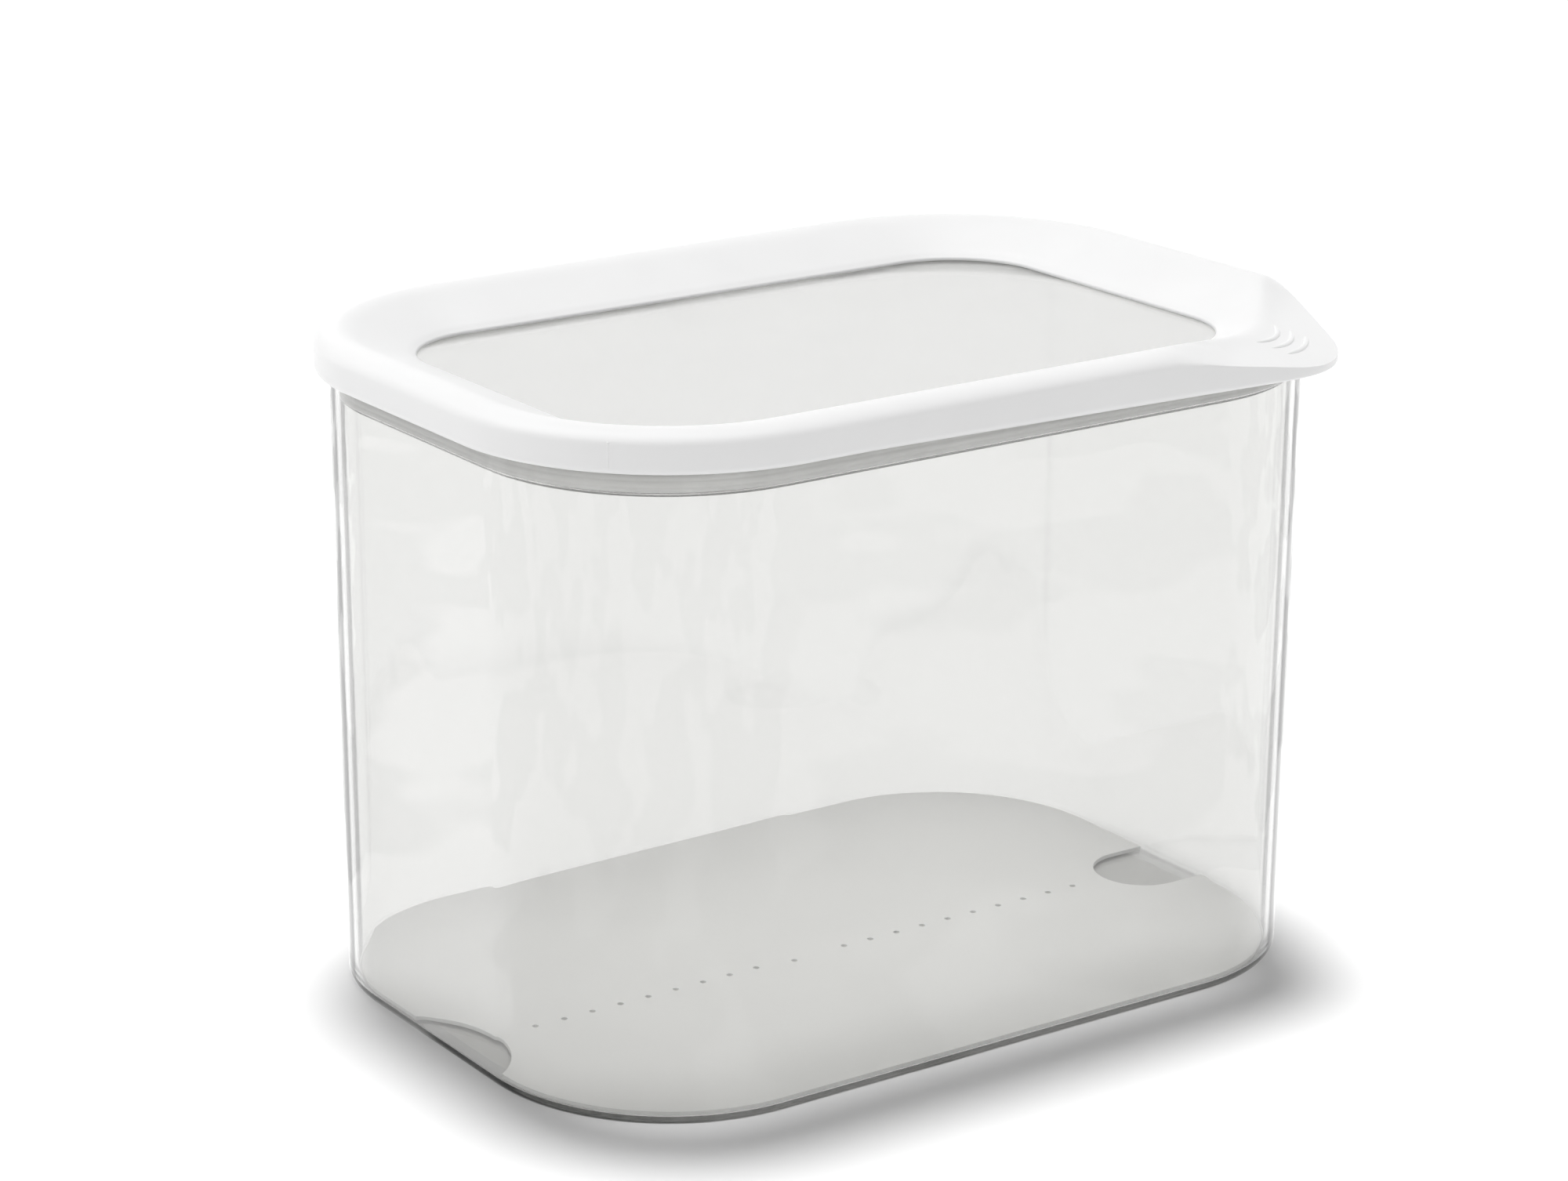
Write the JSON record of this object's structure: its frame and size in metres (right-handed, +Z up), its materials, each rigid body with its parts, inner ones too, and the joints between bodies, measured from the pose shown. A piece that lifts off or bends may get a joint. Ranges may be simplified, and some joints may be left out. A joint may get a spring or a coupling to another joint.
{
  "type": "food storage box",
  "caption": "Clear rounded storage box for dry food, with a white press-on lid that has a clear window, a sealed plug and a corner tab, and a perforated base sheet.",
  "frame": {"origin": "middle of the tub's foot, on the surface that the box stands on", "axes": "+X along the long side, towards the end that has the opening tab; -Y is the front long side, which has the tab at its right end; +Z up"},
  "size_m": [0.2838, 0.2014, 0.2016],
  "materials": {
    "clear_tub": "clear, polished",
    "white_frame": "satin",
    "clear_window": "clear, slightly hazy",
    "silicone": "soft matte",
    "white_sheet": "matte"
  },
  "bodies": {
    "box": {"container": "clear_tub"},
    "lid": {"lid_frame": "white_frame", "lid_window": "clear_window", "lid_seal": "silicone"},
    "tray": {"base_tray": "white_sheet"}
  },
  "joints": [
    {"name": "lid_lift", "type": "slide", "parent": "box", "child": "lid", "axis": [0, 0, 1], "range_m": [0, 0.12]},
    {"name": "tray_lift", "type": "slide", "parent": "box", "child": "tray", "axis": [0, 0, 1], "range_m": [0, 0.17]}
  ]
}
